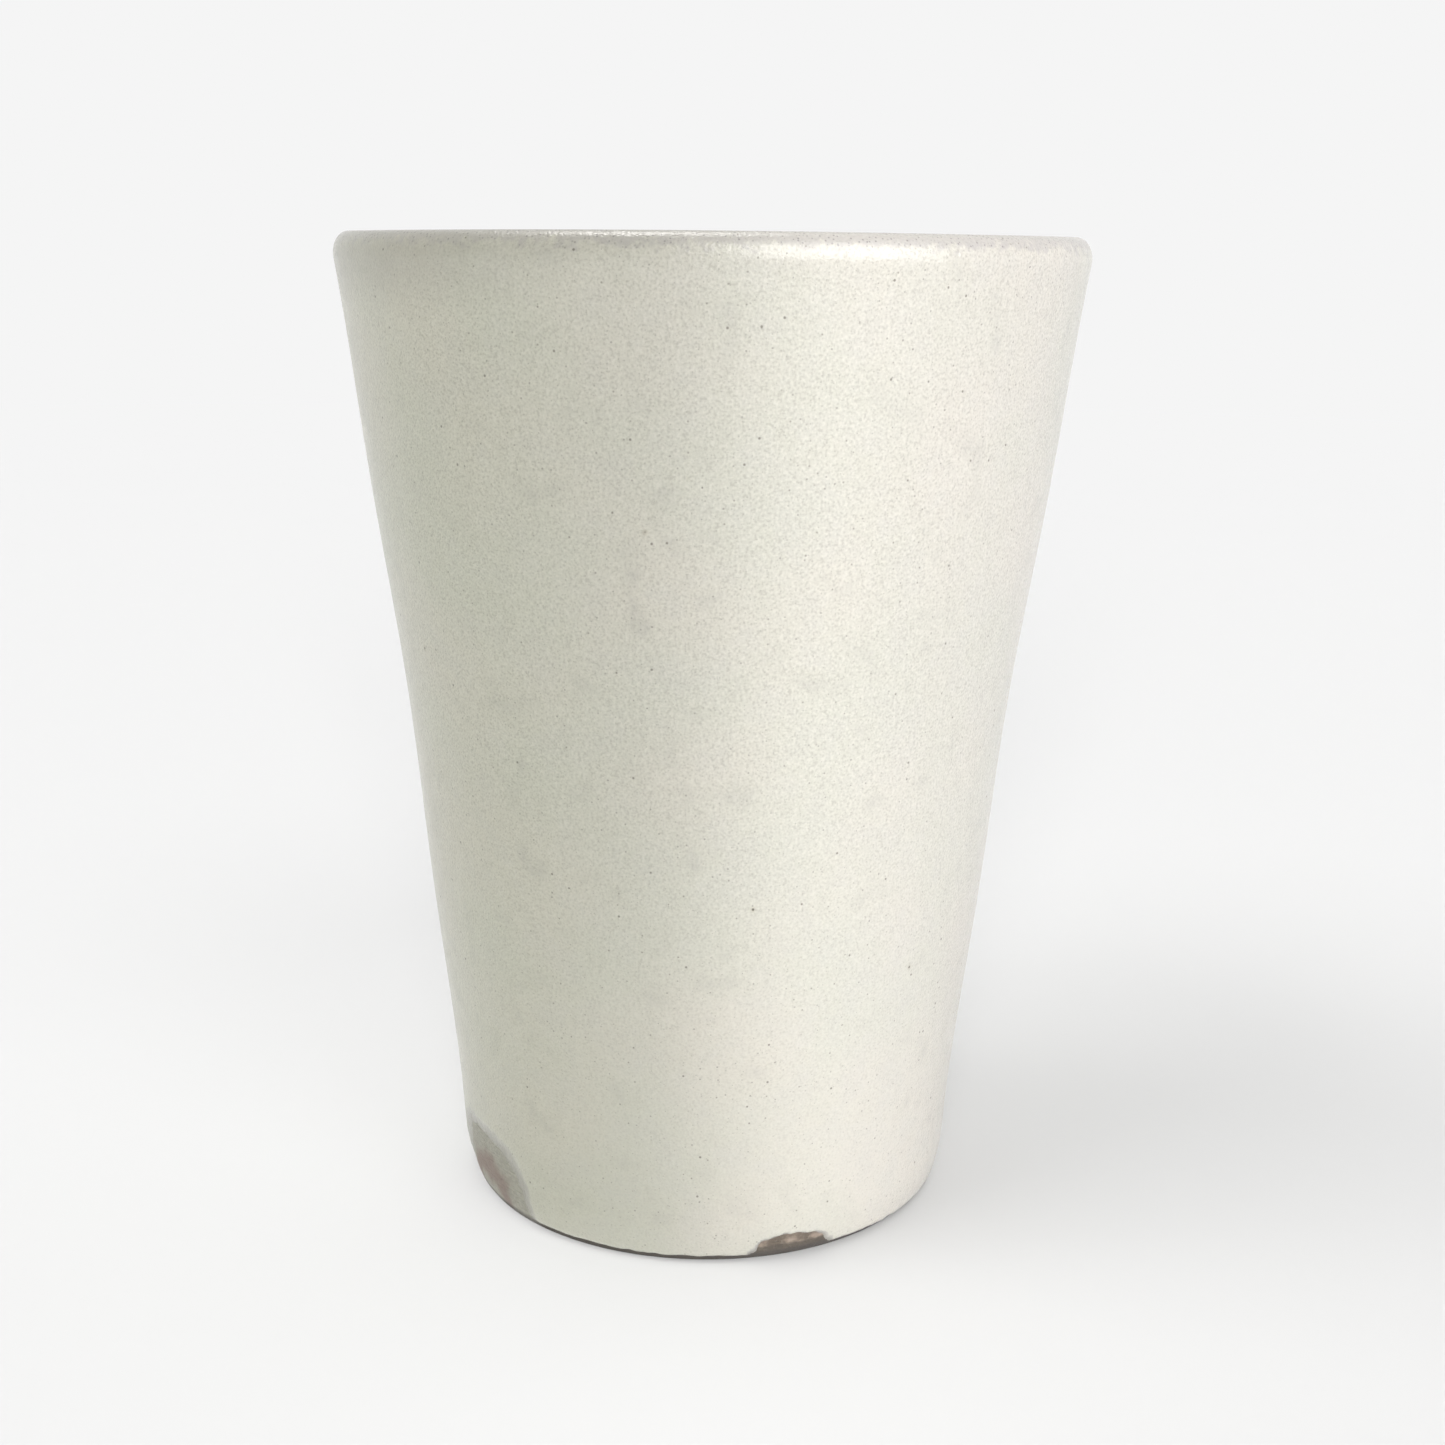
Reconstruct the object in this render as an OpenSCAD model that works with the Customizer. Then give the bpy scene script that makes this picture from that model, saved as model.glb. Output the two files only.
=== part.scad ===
// Hand-thrown stoneware tumbler: a clay body with one coat of glaze outside and one inside.
// It stands on its foot at the origin, with +Z up through the middle of the mouth.

/* [Cup] */
// Outside diameter where the wall's line meets the rim plane
rim_d = 86; // [70:0.5:110]
// Outside diameter where the wall's line meets the table
foot_d = 59; // [48:0.5:68]
// Height from the table to the lip's crest
cup_h = 113; // [85:0.5:150]
// How far the wall curves in from a straight line at mid-height
wall_bow = 1; // [0.4:0.1:3]
// Wall thickness, glaze included; the lip is rounded over all of it
wall_t = 4; // [3:0.1:6]
// Floor thickness over the standing ring, glaze included
floor_t = 6.5; // [4.5:0.1:10]
// Radius of the turn from the wall to the floor, inside
inner_corner_r = 11; // [4:0.5:16]

/* [Glaze] */
// Thickness of each coat
glaze_t = 0.5; // [0.3:0.05:0.9]
// Height at which the outer coat stops above the table
glaze_stop = 0.6; // [0.3:0.1:0.9]

/* [Foot] */
// Width of the turned bevel round the foot
bevel_w = 0.8; // [0.4:0.1:2]
// Height of the bevel
bevel_h = 2; // [1:0.1:3]
// Width of the flat ring that the cup stands on
ring_w = 6; // [4:0.5:9]
// Depth of the recess inside the ring
recess_depth = 1.5; // [0.5:0.1:2.5]

/* [Finger marks] */
// Angle of the thumb's mark, counter-clockwise from +X
thumb_angle = 210; // [0:1:359]
// Width of the thumb's mark at the foot
thumb_w = 17.5; // [12:0.5:22]
// Height of the thumb's mark
thumb_h = 8.7; // [3:0.1:11]
// Angle of the front fingertip's mark
fingertip_angle = 290.5; // [0:0.5:359]
// Width of the front fingertip's mark at the foot
fingertip_w = 10.5; // [6:0.5:14]
// Height of the front fingertip's mark
fingertip_h = 3.1; // [1.5:0.1:5]
// Angle of the back finger's mark
back_finger_angle = 38; // [0:1:359]
// Width of the back finger's mark at the foot
back_finger_w = 13; // [8:0.5:18]
// Height of the back finger's mark
back_finger_h = 4.5; // [1.5:0.1:8]

/* [Hidden] */

$fn = 96;
wall_steps = 24;
lip_steps = 8;
corner_steps = 12;
slack = 1;
rim_r = rim_d / 2;
foot_r = foot_d / 2;
lip_r = wall_t / 2;

// The wall's faces are arcs about one centre, which lies outside the cup.
lean = [rim_r - foot_r, cup_h];
chord = norm(lean);
bow_r = (chord * chord / 4 + wall_bow * wall_bow) / (2 * wall_bow);
bow_centre = [foot_r, 0] + lean / 2 + (bow_r - wall_bow) * [lean.y, -lean.x] / chord;

// Angle about the bow's centre, at height z, of the face that lies depth below the outer face
function wall_angle(depth, z) = 180 - asin((z - bow_centre.y) / (bow_r + depth));

function around(centre, radius, angle) = centre + radius * [cos(angle), sin(angle)];

function arc(centre, radius, from, to, steps) =
  [for (i = [0:steps]) around(centre, radius, from + (to - from) * i / steps)];

function reversed(points) = [for (i = [len(points) - 1:-1:0]) points[i]];

lip_angle = wall_angle(lip_r, cup_h - lip_r);
lip_centre = around(bow_centre, bow_r + lip_r, lip_angle);
corner_depth = wall_t + inner_corner_r;
corner_angle = wall_angle(corner_depth, floor_t + inner_corner_r);
corner_centre = around(bow_centre, bow_r + corner_depth, corner_angle);

// Where the bevel meets the wall, skin below the glaze's surface
function bevel_top(skin) =
  let (rise = skin * (norm([bevel_w, bevel_h]) - bevel_h) / bevel_w, z = bevel_h + rise)
  around(bow_centre, bow_r + skin, wall_angle(skin, z));

// Outline from the table up the outside to the lip's crest, skin below the glaze's surface
function outer_side(skin) =
  let (top = bevel_top(skin), low_angle = wall_angle(skin, top.y))
  concat([top - [bevel_w, bevel_h] * top.y / bevel_h],
         arc(bow_centre, bow_r + skin, low_angle, lip_angle, wall_steps),
         arc(lip_centre, lip_r - skin, lip_angle - 180, 90, lip_steps));

// Outline from the lip's crest down the inside to the middle of the floor
function inner_side(skin) =
  concat(arc(lip_centre, lip_r - skin, 90, lip_angle, lip_steps),
         arc(bow_centre, bow_r + wall_t - skin, lip_angle, corner_angle, wall_steps),
         arc(corner_centre, inner_corner_r + skin, corner_angle - 180, -90, corner_steps),
         [[0, floor_t - skin]]);

// A round-topped patch of the wall at the foot, width wide at the table and height tall
module finger_patch(angle, width, height) {
  patch_r = (width * width / 4 + height * height) / (2 * height);
  rotate([0, 0, angle])
    translate([ring_w, 0, height - patch_r])
      rotate([0, 90, 0])
        cylinder(r = patch_r, h = rim_r);
}

module clay_body() {
  color("#8f8175")
    difference() {
      rotate_extrude()
        polygon(concat([[0, 0]], outer_side(glaze_t), inner_side(glaze_t)));
      translate([0, 0, -slack])
        cylinder(r = outer_side(glaze_t)[0].x - ring_w, h = recess_depth + slack);
    }
}

module outer_glaze() {
  color("#e6e2d3")
    difference() {
      rotate_extrude()
        difference() {
          polygon(concat(outer_side(0), reversed(outer_side(glaze_t))));
          square([rim_r, glaze_stop]);
        }
      finger_patch(thumb_angle, thumb_w, thumb_h);
      finger_patch(fingertip_angle, fingertip_w, fingertip_h);
      finger_patch(back_finger_angle, back_finger_w, back_finger_h);
    }
}

module inner_glaze() {
  color("#e6e2d3")
    rotate_extrude()
      polygon(concat(inner_side(0), reversed(inner_side(glaze_t))));
}

clay_body();
outer_glaze();
inner_glaze();
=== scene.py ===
import bpy
import math
import numpy as np
from mathutils import Matrix, Vector, noise


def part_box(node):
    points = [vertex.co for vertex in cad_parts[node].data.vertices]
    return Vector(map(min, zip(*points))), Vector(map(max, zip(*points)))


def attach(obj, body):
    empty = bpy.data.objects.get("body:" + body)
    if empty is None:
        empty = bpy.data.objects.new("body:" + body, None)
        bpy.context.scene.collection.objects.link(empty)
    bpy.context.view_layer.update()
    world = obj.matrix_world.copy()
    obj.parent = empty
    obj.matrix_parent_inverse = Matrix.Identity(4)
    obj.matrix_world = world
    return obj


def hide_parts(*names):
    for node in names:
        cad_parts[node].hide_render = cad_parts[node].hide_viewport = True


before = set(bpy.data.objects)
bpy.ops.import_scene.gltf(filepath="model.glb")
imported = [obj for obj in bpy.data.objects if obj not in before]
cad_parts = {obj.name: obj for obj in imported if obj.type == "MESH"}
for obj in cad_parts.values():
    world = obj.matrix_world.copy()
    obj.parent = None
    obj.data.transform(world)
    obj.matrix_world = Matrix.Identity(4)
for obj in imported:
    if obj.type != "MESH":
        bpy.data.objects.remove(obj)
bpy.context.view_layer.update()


# ---- Clay body ------------------------------------------------------------------------------
# The cup itself: one piece of grey-brown stoneware, thrown on a wheel, then turned over to trim
# its foot, and fired. It shows bare in the finger marks at the foot and on the underside.

rim_radius = 0.043
foot_radius = 0.0295
wall_bow = 0.001
wall = 0.004
bevel_w = 0.0008
bevel_h = 0.002
ring_w = 0.006
recess = 0.0015
corner_radius = 0.011
lip_half = wall / 2
lip_rise = 0.0027
arris = 0.0004
clay_steps = 384

coat_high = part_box("outer_glaze")[1]
clay_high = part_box("clay_body")[1]
liner_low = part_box("inner_glaze")[0]
cup_height = coat_high.z
coat = cup_height - clay_high.z
floor_top = liner_low.z + coat

lean = np.array([rim_radius - foot_radius, cup_height])
chord = float(np.hypot(*lean))
bow_radius = (chord ** 2 / 4 + wall_bow ** 2) / (2 * wall_bow)
square_to_wall = np.array([lean[1], -lean[0]]) / chord
bow_centre = np.array([foot_radius, 0]) + lean / 2 + (bow_radius - wall_bow) * square_to_wall


def arc(centre, radius, start, end, steps):
    """Points of an arc in the cup's half section, ends included, as (radius, height)."""
    turns = np.linspace(start, end, steps + 1)
    return [centre + radius * np.array([math.cos(t), math.sin(t)]) for t in turns]


def wall_turn(depth, z):
    """Angle about the bow's centre, at height z, of the face that lies depth below the outside."""
    return math.pi - math.asin((z - bow_centre[1]) / (bow_radius + depth))


def wall_face(depth, z):
    """Radius at height z of the wall's face that lies depth below the outside."""
    return bow_centre[0] - np.sqrt((bow_radius + depth) ** 2 - (z - bow_centre[1]) ** 2)


def foot_face(depth, z, softness):
    """Radius at height z of the wall or of the foot's bevel, whichever is nearer the axis."""
    upright = wall_face(depth, z)
    slant = math.hypot(bevel_w, bevel_h) / bevel_h
    bevel = wall_face(0, bevel_h) - bevel_w * (1 - z / bevel_h) - depth * slant
    share = np.clip(0.5 + (bevel - upright) / (2 * softness), 0, 1)
    return share * upright + (1 - share) * bevel - softness * share * (1 - share)


lip_turn = wall_turn(lip_half, cup_height - lip_rise)
lip_out = -np.array([math.cos(lip_turn), math.sin(lip_turn)])
lip_up = np.array([-lip_out[1], lip_out[0]])
lip_centre = bow_centre - (bow_radius + lip_half) * lip_out


def lip(skin, start, end, steps):
    """Points round the lip, skin below its finished surface, from 0 outside to half a turn inside
    the cup."""
    return [lip_centre
            + (lip_half - skin) * math.cos(t) * lip_out
            + (lip_rise - skin) * math.sin(t) * lip_up
            for t in np.linspace(start, end, steps + 1)]


corner_depth = wall + corner_radius
corner_turn = wall_turn(corner_depth, floor_top + corner_radius)
corner_centre = bow_centre + (bow_radius + corner_depth) * np.array(
    [math.cos(corner_turn), math.sin(corner_turn)])


def inside(skin, wall_steps):
    """Points from the lip's inner side down to the edge of the floor, skin below the surface."""
    down = arc(bow_centre, bow_radius + wall - skin, lip_turn, corner_turn, wall_steps)
    corner = arc(corner_centre, corner_radius + skin, corner_turn - math.pi, -math.pi / 2, 12)
    return down[1:] + corner[1:]


def turned(name, outline, steps):
    """A piece turned about the cup's axis from the closed outline of its half section."""
    bpy.ops.object.select_all(action="DESELECT")
    bpy.ops.mesh.primitive_circle_add(vertices=len(outline), radius=foot_radius)
    piece = bpy.context.object
    piece.name = name
    for vertex, (radius, z) in zip(piece.data.vertices, outline):
        vertex.co = (radius, 0, z)
    bpy.ops.object.modifier_add(type="SCREW")
    wheel = piece.modifiers[-1]
    wheel.axis = "Z"
    wheel.angle = 2 * math.pi
    wheel.steps = steps
    wheel.render_steps = steps
    wheel.use_merge_vertices = True
    wheel.merge_threshold = 1e-6
    bpy.ops.object.modifier_apply(modifier=wheel.name)
    bpy.ops.object.mode_set(mode="EDIT")
    bpy.ops.mesh.select_all(action="SELECT")
    bpy.ops.mesh.remove_doubles(threshold=1e-6)
    bpy.ops.mesh.delete_loose(use_verts=True, use_edges=True, use_faces=False)
    bpy.ops.mesh.select_all(action="SELECT")
    bpy.ops.mesh.normals_make_consistent(inside=False)
    bpy.ops.object.mode_set(mode="OBJECT")
    bpy.ops.object.shade_smooth_by_angle(angle=math.radians(50))
    return piece


def places(piece):
    """Every vertex of a piece as angle round the axis, radius and height."""
    points = np.zeros(len(piece.data.vertices) * 3)
    piece.data.vertices.foreach_get("co", points)
    points = points.reshape(-1, 3)
    x, y, z = points.T
    return np.arctan2(y, x), np.hypot(x, y), z


def put(piece, angle, radius, z):
    """Moves every vertex of a piece to an angle, radius and height."""
    points = np.stack([radius * np.cos(angle), radius * np.sin(angle), z], axis=1)
    piece.data.vertices.foreach_set("co", points.ravel())
    piece.data.update()


wave_depth = 0.00016
wave_length = 0.048
wave_crest = 0.037
wave_foot = 0.012
wave_axis = 0.02
oval = 0.0012
three_sided = 0.0006
lip_wander = 0.00012


def hand_thrown(piece):
    """The unevenness of a thrown cup, the same for clay and coats: waves up the wall, a mouth that
    isn't quite round, and a lip that dips."""
    angle, radius, z = places(piece)
    rise = np.clip(z / cup_height, 0, 1)
    grown_in = np.clip(z / wave_foot, 0, 1) * np.clip(radius / wave_axis, 0, 1)
    wave = wave_depth * np.cos(2 * math.pi * (z - wave_crest) / wave_length) * grown_in
    round_error = 1 + rise * (oval * np.cos(2 * (angle - 0.5)) + three_sided * np.cos(3 * angle + 1))
    dip = lip_wander * rise ** 6 * (np.cos(2 * angle + 1.9) + 0.6 * np.cos(3 * angle - 0.6))
    put(piece, angle, (radius + wave) * round_error, z + dip)


thumb = {"angle": 208.5, "half": 0.0075, "height": 0.0075, "square": 2.7}
fingertip = {"angle": 290.8, "half": 0.0045, "height": 0.0028, "square": 2.5}
back_finger = {"angle": 38, "half": 0.0065, "height": 0.0045, "square": 2.5}


def mark_share(mark, angle, z):
    """0 in the middle of a finger mark, 1 at its edge, more outside."""
    turn = angle - math.radians(mark["angle"])
    along = np.abs((turn + math.pi) % (2 * math.pi) - math.pi) * foot_radius / mark["half"]
    up = np.clip(z, 0, None) / mark["height"]
    return (along ** mark["square"] + up ** mark["square"]) ** (1 / mark["square"])


def give_attribute(piece, name, values):
    """Stores one number for each vertex, for the piece's material to read."""
    piece.data.attributes.new(name, "FLOAT", "POINT").data.foreach_set(
        "value", np.asarray(values, np.float32))


def paint_box(name):
    """A new node material, as the material, its shader and a function that adds a node to it."""
    material = bpy.data.materials.new(name)
    material.use_nodes = True
    tree = material.node_tree

    def add(kind, *values, **settings):
        """A node with its settings; each value is a number, a colour or another node's output."""
        node = tree.nodes.new("ShaderNode" + kind)
        for setting, value in settings.items():
            setattr(node, setting, value)
        for socket, value in zip([s for s in node.inputs if s.enabled], values):
            if isinstance(value, bpy.types.NodeSocket):
                tree.links.new(value, socket)
            elif value is not None:
                socket.default_value = value
        return next(output for output in node.outputs if output.enabled)
    return material, tree.nodes["Principled BSDF"], add


def between(add, value, low, high):
    """0 where a value is at low or beyond it, 1 at high or beyond, with a smooth rise."""
    return add("MapRange", value, low, high, 0.0, 1.0, interpolation_type="SMOOTHSTEP")


def times(add, first, second):
    """The product of two values."""
    return add("Math", first, second, operation="MULTIPLY")


def blend_colours(add, share, first, second):
    """The first colour where the share is 0, the second where it is 1."""
    return add("Mix", share, first, second, data_type="RGBA")


def mottle(add, place, size, detail=2.0):
    """Cloudy noise around 0.5 whose patches are about as large as size, in metres."""
    return add("TexNoise", place, 1 / size, detail)


def swayed(add, value, pattern, reach):
    """A value pushed up and down by a cloudy pattern, so that what it borders wanders."""
    return add("Math", add("Math", pattern, -0.5, operation="ADD"), reach, value,
               operation="MULTIPLY_ADD")


def grains(add, place, pitch, radius, share):
    """1 on round grains set at random in the body of a material, about one to each pitch cubed."""
    cell = add("TexVoronoi", place, 1 / pitch)
    luck = add("SeparateColor", cell.node.outputs["Color"])
    lucky = between(add, luck, 1 - share, 1 - 0.6 * share)
    size = times(add, lucky, radius / pitch)
    return between(add, cell, size, times(add, size, 0.45))


def dented(add, height, depth, under=None):
    """The surface's normal where a pattern presses it in and out by depth, in metres."""
    bump = add("Bump")
    node = bump.node
    node.inputs["Distance"].default_value = depth
    node.id_data.links.new(height, node.inputs["Height"])
    if under is not None:
        node.id_data.links.new(under, node.inputs["Normal"])
    return bump


def fired_clay():
    """Grey-brown stoneware: gritty, with painted shade on the bevel and at the very bottom, a
    painted highlight along the top of the bevel, and a thumb print of half wiped glaze."""
    material, shader, add = paint_box("fired_clay")
    place = add("TexCoord").node.outputs["Object"]
    height = add("SeparateXYZ", place).node.outputs["Z"]
    clouds = mottle(add, place, 0.0026, 4.0)
    grit = mottle(add, place, 0.0004, 2.0)
    dark_clay = (0.16, 0.132, 0.10, 1)
    pale_clay = (0.25, 0.207, 0.155, 1)
    sand = (0.35, 0.30, 0.235, 1)
    colour = blend_colours(add, between(add, clouds, 0.35, 0.65), dark_clay, pale_clay)
    colour = blend_colours(add, times(add, between(add, grit, 0.52, 0.72), 0.5), colour, sand)

    streaks = mottle(add, add("Mapping", place, None, None, (1, 1, 6)), 0.0016, 3.0)
    wandering = swayed(add, height, streaks, 0.0007)
    # Painted shade: the bevel faces down, and its colour is made darker.
    bevel = between(add, wandering, bevel_h, bevel_h - 0.0004)
    bevel_shade_brown = (0.10, 0.088, 0.07, 1)
    colour = blend_colours(add, times(add, bevel, 0.7), colour, bevel_shade_brown)
    # Painted highlight: a pale band along the top of the bevel, where the turned edge catches light.
    above = between(add, wandering, 0.0015, 0.0020)
    below = between(add, wandering, 0.0027, 0.0021)
    lit_edge_share = times(add, times(add, above, below), between(add, clouds, 0.38, 0.58))
    lit_edge_colour = (0.42, 0.345, 0.27, 1)
    colour = blend_colours(add, lit_edge_share, colour, lit_edge_colour)

    print_share = add("Attribute", attribute_name="thumb_share").node.outputs["Fac"]
    smear = swayed(add, print_share, clouds, 0.5)
    pressed = between(add, print_share, 1.5, 1.2)
    wiped = times(add, between(add, smear, 0.30, 0.52), between(add, smear, 0.90, 0.66))
    thick_film = (0.43, 0.42, 0.365, 1)
    thin_film = (0.50, 0.49, 0.425, 1)
    film = blend_colours(add, between(add, grit, 0.4, 0.6), thick_film, thin_film)
    dark_pink = (0.29, 0.23, 0.20, 1)
    pale_pink = (0.40, 0.325, 0.285, 1)
    bare_pink = blend_colours(add, grit, dark_pink, pale_pink)
    colour = blend_colours(add, pressed, colour, blend_colours(add, wiped, film, bare_pink))
    # Painted shade: the clay within a millimetre or so of the floor is darkened, where the foot
    # meets the sheet.
    foot_shade_share = between(add, height, 0.0014, 0.0006)
    foot_shade_colour = (0.095, 0.088, 0.078, 1)
    colour = blend_colours(add, times(add, foot_shade_share, 0.8), colour, foot_shade_colour)

    links = material.node_tree.links
    links.new(colour, shader.inputs["Base Color"])
    roughness = add("MapRange", pressed, 0.0, 1.0, 0.85, 0.6)
    links.new(roughness, shader.inputs["Roughness"])
    normal = dented(add, streaks, 0.00025)
    normal = dented(add, clouds, 0.0003, normal)
    links.new(dented(add, grit, 0.00012, normal), shader.inputs["Normal"])
    return material


ring_inner = foot_face(coat, 0, arris) - ring_w
ring_outer = foot_face(coat, 0, arris)
trim_lines = [np.array([r, recess + 0.00005 * math.sin(r / 0.00028)])
              for r in np.linspace(0.0004, ring_inner - 0.0012, 90)]
clay_outline = (
    [np.array([0, recess])]
    + trim_lines
    + arc(np.array([ring_inner - 0.0005, recess - 0.0005]), 0.0005, math.pi / 2, 0, 5)
    + arc(np.array([ring_inner + arris, arris]), arris, math.pi, 1.5 * math.pi, 5)
    + arc(np.array([ring_outer - arris, arris]), arris, -math.pi / 2, -0.3, 5)
    + [np.array([foot_face(coat, z, arris), z]) for z in np.arange(0.0006, 0.0105, 0.0004)]
    + [np.array([wall_face(coat, z), z]) for z in np.linspace(0.012, lip_centre[1] - 0.002, 30)]
    + lip(coat, 0, math.pi, 16)
    + inside(coat, 30)
    + [np.array([0, floor_top - coat])])
thrown_clay = turned("thrown_clay", clay_outline, clay_steps)
angle, radius, z = places(thrown_clay)
give_attribute(thrown_clay, "thumb_share", mark_share(thumb, angle, z))
hand_thrown(thrown_clay)
thrown_clay.data.materials.append(fired_clay())
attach(thrown_clay, "root")
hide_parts("clay_body")


# ---- Liner glaze ----------------------------------------------------------------------------
# A coat of cream glaze, poured in and out again before the outside was dipped, and melted on to
# the clay. It follows the rings that the thrower's fingers left on the inside of the wall.

key = 0.0003
liner_steps = 360
ring_depth = 0.00018
ring_pitch = 0.0068
floor_ripple = 0.00012
ripple_pitch = 0.0011
pool_height = 0.004
spot_pitch = 0.006
spot_halo = 0.00045
spot_core = 0.0002
spot_share = 0.5


def melted_glaze(name, pool=0.0):
    """Cream glaze with iron specks from the clay, thin and grey where it runs off the lip, with
    painted shade on the cup's left just below the lip. Pool is how high above the floor it looks
    deeper, where it ran together."""
    material, shader, add = paint_box(name)
    links = material.node_tree.links
    place = add("TexCoord").node.outputs["Object"]
    height = add("SeparateXYZ", place).node.outputs["Z"]
    clouds = mottle(add, place, 0.018, 3.0)
    patches = mottle(add, place, 0.0045, 3.0)
    grain = mottle(add, place, 0.00027, 1.0)
    green_cream = (0.662, 0.668, 0.565, 1)
    warm_cream = (0.695, 0.68, 0.583, 1)
    deeper_cream = (0.62, 0.626, 0.56, 1)
    colour = blend_colours(add, between(add, clouds, 0.35, 0.65), green_cream, warm_cream)
    patch_share = times(add, between(add, patches, 0.35, 0.7), 0.35)
    colour = blend_colours(add, patch_share, colour, deeper_cream)
    shown = add("MapRange", height, 0.01, 0.06, 0.4, 1.0)
    dark_grain = (0.42, 0.41, 0.34, 1)
    dark_share = times(add, times(add, between(add, grain, 0.50, 0.74), shown), 0.40)
    colour = blend_colours(add, dark_share, colour, dark_grain)
    light_grain = (0.80, 0.79, 0.69, 1)
    light_share = times(add, times(add, between(add, grain, 0.50, 0.28), shown), 0.45)
    colour = blend_colours(add, light_share, colour, light_grain)

    fullness = add("Attribute", attribute_name="fullness").node.outputs["Fac"]
    covered = swayed(add, fullness, patches, 0.35)
    thin_glaze = (0.49, 0.48, 0.44, 1)
    colour = blend_colours(add, times(add, between(add, covered, 1.0, 0.8), 0.7), colour, thin_glaze)
    glaze_film = (0.42, 0.41, 0.36, 1)
    colour = blend_colours(add, between(add, covered, 0.95, 0.35), colour, glaze_film)

    # Painted shade: a band a few millimetres below the lip, on the cup's left side only, is
    # darkened.
    side = add("SeparateXYZ", place)
    left_shade_share = times(add, between(add, height, cup_height - 0.009, cup_height - 0.003),
                    between(add, side, -0.008, -0.036))
    left_shade_cream = (0.48, 0.465, 0.415, 1)
    colour = blend_colours(add, times(add, left_shade_share, 0.55), colour, left_shade_cream)
    tears = mottle(add, place, 0.0011, 4.0)
    drained = swayed(add, height, tears, 0.0034)
    lip_share = between(add, drained, cup_height - 0.0018, cup_height - 0.0006)
    lip_grey = (0.47, 0.455, 0.435, 1)
    colour = blend_colours(add, times(add, lip_share, 0.6), colour, lip_grey)
    pepper = grains(add, place, 0.0004, 0.00014, 0.8)
    pepper_grey = (0.22, 0.21, 0.2, 1)
    colour = blend_colours(add, times(add, times(add, pepper, lip_share), 0.6), colour, pepper_grey)

    for pitch, radius, share, strength, tint in (
            (0.0005, 0.00010, 0.75, 0.42, (0.30, 0.29, 0.23, 1)),
            (0.0009, 0.00014, 0.5, 0.55, (0.22, 0.21, 0.16, 1)),
            (0.0018, 0.00019, 0.4, 0.7, (0.17, 0.16, 0.12, 1))):
        specks = grains(add, place, pitch, radius, share)
        colour = blend_colours(add, times(add, specks, strength), colour, tint)

    halo = times(add, grains(add, place, spot_pitch, spot_halo, spot_share), 0.22)
    rust = (0.42, 0.37, 0.24, 1)
    colour = blend_colours(add, halo, colour, rust)
    core = times(add, grains(add, place, spot_pitch, spot_core, spot_share), 0.8)
    iron = (0.13, 0.13, 0.10, 1)
    colour = blend_colours(add, core, colour, iron)
    if pool:
        pooled = between(add, height, floor_top + pool, floor_top)
        pool_green = (0.56, 0.60, 0.52, 1)
        colour = blend_colours(add, times(add, pooled, 0.35), colour, pool_green)

    links.new(colour, shader.inputs["Base Color"])
    roughness = add("MapRange", patches, 0.3, 0.7, 0.17, 0.262)
    links.new(roughness, shader.inputs["Roughness"])
    normal = dented(add, mottle(add, place, 0.0018, 2.0), 0.00008)
    links.new(dented(add, grain, 0.00007, normal), shader.inputs["Normal"])
    return material


rings = []
for turn in np.linspace(lip_turn, corner_turn, 100)[1:]:
    level = bow_centre[1] + bow_radius * math.sin(turn)
    swell = ring_depth * math.sin(2 * math.pi * level / ring_pitch + 1.3 * math.sin(level / 0.011))
    faded = min(max((cup_height - 0.012 - level) / 0.02, 0), 1)
    rings.append(bow_centre + (bow_radius + wall + swell * faded)
                 * np.array([math.cos(turn), math.sin(turn)]))
floor_rings = []
for r in np.linspace(corner_centre[0], 0.0006, 45)[1:]:
    ripple = floor_ripple * (1 - math.cos(r / ripple_pitch)) * r / corner_centre[0]
    floor_rings.append(np.array([r, floor_top + ripple]))
liner_outline = (
    lip(0, math.pi / 2, math.pi, 12)
    + rings
    + arc(corner_centre, corner_radius, corner_turn - math.pi, -math.pi / 2, 16)[1:]
    + floor_rings
    + [np.array([0, floor_top]), np.array([0, floor_top - coat - key])]
    + inside(coat + key, 16)[::-1]
    + lip(coat + key, math.pi, math.pi / 2, 6))
liner_coat = turned("liner_coat", liner_outline, liner_steps)
give_attribute(liner_coat, "fullness", np.ones(len(liner_coat.data.vertices)))
hand_thrown(liner_coat)
liner_coat.data.materials.append(melted_glaze("liner_glaze", pool=pool_height))
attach(liner_coat, "root")
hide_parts("inner_glaze")


# ---- Outer glaze ----------------------------------------------------------------------------
# The coat that the cup got when it was held by its foot and dipped. It runs from the crest of the
# lip to the foot, thins to nothing round the finger marks, and is keyed into the clay behind.

outer_steps = 640
coat_stop = 0.00055
stop_round = 0.0007
glaze_arris = 0.0011
mark_limit = 0.014
ragged_edge = 0.0004
stop_slant = 0.00015
ragged_end = 0.00012
sunk = 0.00012
thumb_fade = 0.0036
fingertip_fade = 0.0006
back_finger_fade = 0.0012
end_reach = 0.0025
ragged_round = 28
ragged_up = 700

skin_face = []
for z in np.concatenate([np.arange(coat_stop, 0.0125, 0.0003),
                         np.linspace(0.013, lip_centre[1] - 0.0016, 70)]):
    fill = min((z - coat_stop) / stop_round, 1)
    bare = foot_face(coat, z, arris)
    full = foot_face(0, z, glaze_arris)
    skin_face.append(np.array([bare + (full - bare) * math.sqrt(1 - (1 - fill) ** 2), z]))
keyed_face = [np.array([wall_face(coat + key, z), z])
              for z in np.linspace(lip_centre[1] - 0.002, 0.004, 14)]
keyed_foot = [np.array([foot_face(coat + key, z, arris), z]) for z in (0.002, coat_stop + 0.0002)]
outer_outline = (
    skin_face
    + lip(0, 0, math.pi / 2, 14)
    + lip(coat + key, math.pi / 2, 0, 6)
    + keyed_face
    + keyed_foot)
outer_coat = turned("outer_coat", outer_outline, outer_steps)

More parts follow.
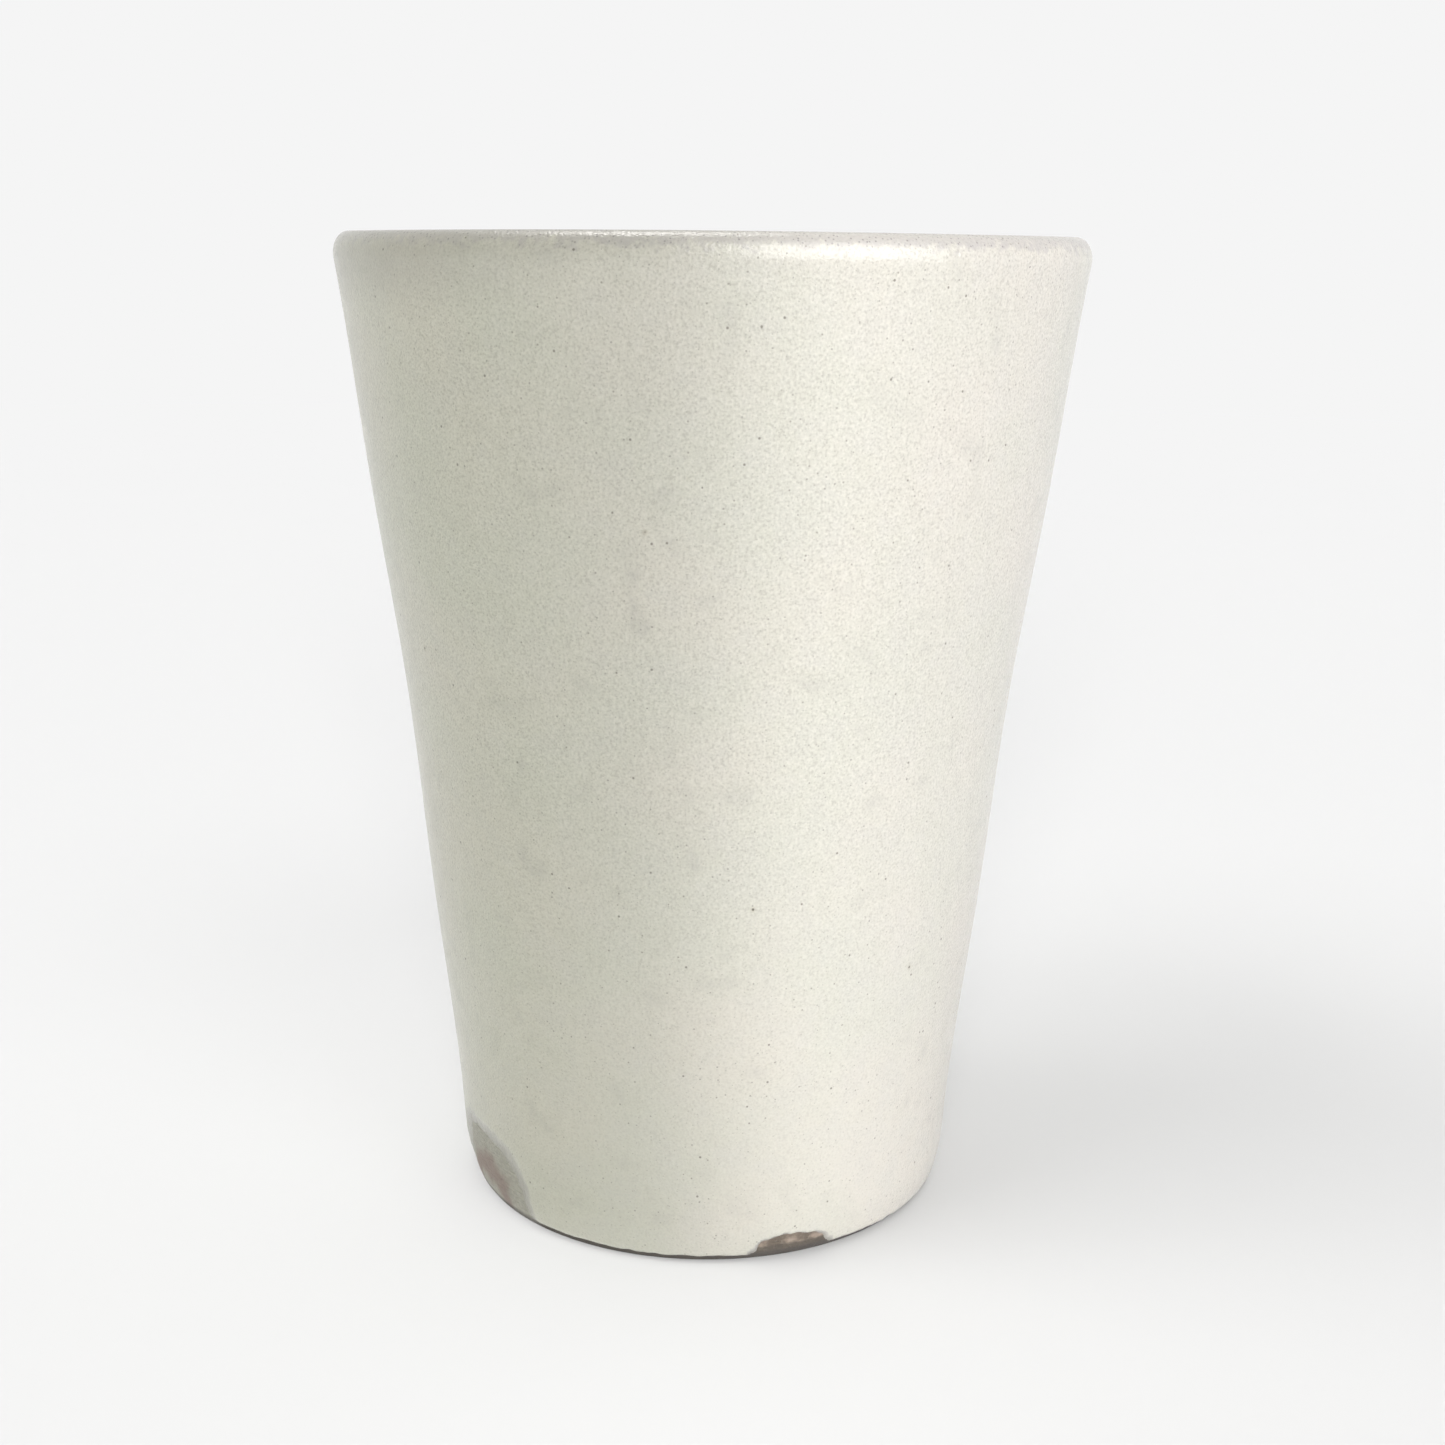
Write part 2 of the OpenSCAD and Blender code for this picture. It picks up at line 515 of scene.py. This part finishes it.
angle, radius, z = places(outer_coat)
low = z < mark_limit
bare = foot_face(coat, z, arris)
depth = radius - bare
fullness = np.ones_like(z)
ragged = np.zeros_like(z)
ragged[low] = [
    noise.noise((ragged_round * math.cos(a), ragged_round * math.sin(a), ragged_up * level))
    for a, level in zip(angle[low], z[low])]
for mark, fade in ((thumb, thumb_fade), (fingertip, fingertip_fade),
                   (back_finger, back_finger_fade)):
    outside = (mark_share(mark, angle, z) - 1) * min(mark["half"], mark["height"])
    fullness = np.minimum(fullness, np.clip((outside + ragged_edge * ragged) / fade, 0, 1))
fullness = np.where(low, fullness * fullness * (3 - 2 * fullness), 1)
feathered = bare + depth * fullness - sunk * (1 - fullness)
on_skin = (depth > 0.00001) & low
end_share = np.clip(1 - (z - coat_stop) / end_reach, 0, 1) * (depth > -0.0001)
uneven_end = stop_slant * (1 - np.cos(angle)) + ragged_end * ragged
put(outer_coat, angle, np.where(on_skin, feathered, radius), z + end_share * uneven_end)
give_attribute(outer_coat, "fullness", fullness)
hand_thrown(outer_coat)
outer_coat.data.materials.append(melted_glaze("cream_glaze"))
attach(outer_coat, "root")
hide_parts("outer_glaze")


# ---- Floor ----------------------------------------------------------------------------------
# A wide matt white sheet under the cup. Far from the cup it glows evenly in the same pale grey as
# the wall behind it, so that no line shows where they meet.

sheet_white = 0.5
sheet_size = 6
near_sheet = 0.35
far_sheet = 1.2
pale_grey = 0.913
bpy.ops.object.select_all(action="DESELECT")
bpy.ops.mesh.primitive_plane_add(size=sheet_size)
floor = bpy.context.object
floor.name = "floor"
white_sheet, sheet_shader, add = paint_box("white_sheet")
sheet_shader.inputs["Roughness"].default_value = 1
sheet_shader.inputs["Specular IOR Level"].default_value = 0
sheet_place = add("TexCoord").node.outputs["Object"]
reach = add("VectorMath", sheet_place, operation="LENGTH").node.outputs["Value"]
far_share = between(add, reach, near_sheet, far_sheet)
white = (sheet_white, sheet_white, sheet_white, 1)
sheet_colour = blend_colours(add, far_share, white, (0, 0, 0, 1))
white_sheet.node_tree.links.new(sheet_colour, sheet_shader.inputs["Base Color"])
glow = times(add, far_share, pale_grey)
white_sheet.node_tree.links.new(glow, sheet_shader.inputs["Emission Strength"])
floor.data.materials.append(white_sheet)


# ---- Light and camera -----------------------------------------------------------------------
# Soft light from the cup's right, with its left in shade. The cup and the sheet have lamps of their
# own. Each lamp's angle is measured round the cup from the camera, to the right.

room_light = 0.22
world = bpy.data.worlds.new("studio")
world.use_nodes = True
sky = world.node_tree
room = sky.nodes["Background"]
room.inputs["Color"].default_value = (room_light, room_light, room_light, 1)
wall_behind = sky.nodes.new("ShaderNodeBackground")
wall_behind.inputs["Color"].default_value = (pale_grey, pale_grey, pale_grey, 1)
rays = sky.nodes.new("ShaderNodeLightPath")
either = sky.nodes.new("ShaderNodeMixShader")
sky.links.new(rays.outputs["Is Diffuse Ray"], either.inputs[0])
sky.links.new(wall_behind.outputs[0], either.inputs[1])
sky.links.new(room.outputs[0], either.inputs[2])
sky.links.new(either.outputs[0], sky.nodes["World Output"].inputs["Surface"])
bpy.context.scene.world = world
bpy.context.scene.view_settings.view_transform = "Standard"

on_cup = bpy.data.collections.new("on_cup")
on_outside = bpy.data.collections.new("on_outside")
on_sheet = bpy.data.collections.new("on_sheet")
for piece in (thrown_clay, liner_coat, outer_coat):
    on_cup.objects.link(piece)
for piece in (thrown_clay, outer_coat):
    on_outside.objects.link(piece)
on_sheet.objects.link(floor)


def lamp(name, kind, angle, height, strength, colour, lights, distance=2.0, aim=(0, 0, 0.056)):
    """A lamp that lights only the objects in a collection, from an angle round the cup and a height
    above the horizon, both in degrees."""
    data = bpy.data.lights.new(name, kind)
    data.energy = strength
    data.color = colour
    lamp_object = bpy.data.objects.new(name, data)
    bpy.context.scene.collection.objects.link(lamp_object)
    turn = math.radians(angle)
    rise = math.radians(height)
    level = math.cos(rise)
    away = Vector((math.sin(turn) * level, -math.cos(turn) * level, math.sin(rise)))
    lamp_object.location = Vector(aim) + distance * away
    lamp_object.rotation_euler = away.to_track_quat("Z", "Y").to_euler()
    lamp_object.light_linking.receiver_collection = lights
    return lamp_object


def sun(name, angle, height, strength, colour=(1, 1, 1), lights=on_cup, width=30, gloss=False):
    """Even soft light from a patch of sky, width degrees across."""
    shining = lamp(name, "SUN", angle, height, strength, colour, lights)
    shining.data.angle = math.radians(width)
    shining.visible_glossy = gloss


def beam(name, height, strength, edge, softness):
    """Light from over the camera whose left border is an upright soft edge on the cup's front."""
    half = math.radians(12)
    distance = 3.0
    start = Vector((edge, -0.0355, 0.06))
    shining = lamp(name, "SPOT", 0, height, strength, (1, 0.97, 1), on_outside, distance, start)
    shining.rotation_euler.rotate_axis("Y", -half)
    shining.data.spot_size = 2 * half
    shining.data.spot_blend = math.sin(half) * softness / distance / (1 - math.cos(half))
    shining.data.shadow_soft_size = 0.004
    shining.visible_glossy = False


sun("window_side", 50, 5, 1.55, (0.87, 0.79, 1))
sun("window_left", -135, 10, 0.22, (0.85, 0.93, 1))
sun("window_back", 120, 5, 0.80, (1, 0.95, 0.85))
sun("room_front", -25, 25, 0.38, (1, 1, 0.65))
sun("ceiling", -150, 72, 1.6, (1, 0.98, 0.95), gloss=True)
beam("past_the_flag_low", 10, 71, -0.006, 0.022)
beam("past_the_flag_high", 40, 129, -0.010, 0.022)

sheet_light = math.pi * (pale_grey / sheet_white - room_light)


def sheet_sun(name, angle, height, share, width=30):
    """A sun that gives a share of the light that brings the open sheet to the wall's pale grey."""
    strength = share * sheet_light / math.sin(math.radians(height))
    sun(name, angle, height, strength, lights=on_sheet, width=width)


sheet_sun("sheet_front", 0, 15, 0.3)
sheet_sun("sheet_low_left", -90, 15, 0.08)
sheet_sun("sheet_left", -60, 50, 0.15)
sheet_sun("sheet_right", 30, 50, 0.1)
sheet_sun("sheet_overhead", -160, 65, 0.37, width=90)

pool_centre = (0, -0.05, 0)
front_pool = lamp("front_pool", "SPOT", 0, 40, 13, (1, 1, 1), on_sheet, 1.0, pool_centre)
front_pool.data.spot_size = math.radians(8.6)
front_pool.data.spot_blend = 1
front_pool.data.shadow_soft_size = 0.05
front_pool.visible_glossy = False

window = lamp("window", "AREA", 38, 26, 22, (1, 1, 1), on_cup, 1.2)
window.data.shape = "RECTANGLE"
window.data.size = 1.25
window.data.size_y = 1.0
window.visible_diffuse = False

camera_data = bpy.data.cameras.new("camera")
camera_data.sensor_width = 36
camera_data.lens = 48.13
camera = bpy.data.objects.new("camera", camera_data)
bpy.context.scene.collection.objects.link(camera)
camera_place = (0.0017, -0.22623, 0.11172)
camera_tilt = math.radians(13.873)
camera_roll = math.radians(0.686)
camera.matrix_world = (
    Matrix.Translation(camera_place)
    @ Matrix.Rotation(math.pi / 2 - camera_tilt, 4, "X")
    @ Matrix.Rotation(camera_roll, 4, "Z"))
bpy.context.scene.camera = camera
